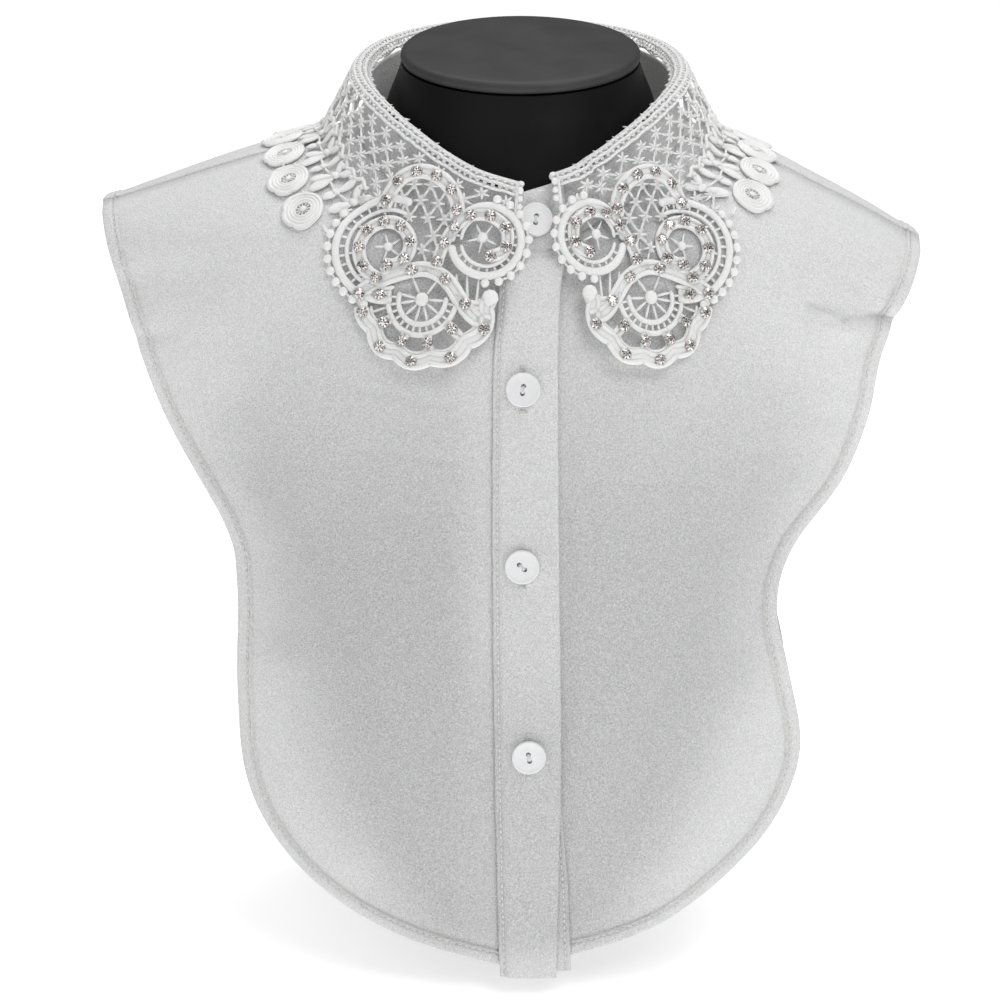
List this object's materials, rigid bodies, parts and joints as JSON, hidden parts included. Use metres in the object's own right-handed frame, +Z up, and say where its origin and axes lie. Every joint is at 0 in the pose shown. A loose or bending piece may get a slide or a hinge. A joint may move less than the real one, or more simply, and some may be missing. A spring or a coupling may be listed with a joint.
{
  "type": "detachable lace collar on a bust display form",
  "caption": "Crepe dickey with a buttoned front, open armholes and a folded lace collar, resting on a plain limbless bust display form.",
  "frame": {"origin": "centre of the bust form's flat foot, on the surface it stands on", "axes": "+Z up, the garment's front faces -Y, and +X is the viewer's right when looking at the front"},
  "size_m": [0.3097, 0.1908, 0.3442],
  "materials": {
    "form": "satin",
    "crepe": "matte",
    "lace": "matte",
    "button": "gloss",
    "rhinestone": "gloss",
    "stone_cup": "polished"
  },
  "bodies": {
    "root": {"bust_form": "form", "form_cap": "form", "front_left": "crepe", "front_right": "crepe", "back_panel": "crepe", "strip_upper": "crepe", "strip_lower": "crepe", "collar_stand": "crepe", "lace_left": "lace", "lace_right": "lace", "button_top": "button", "button_1": "button", "button_2": "button", "button_3": "button"}
  },
  "joints": []
}
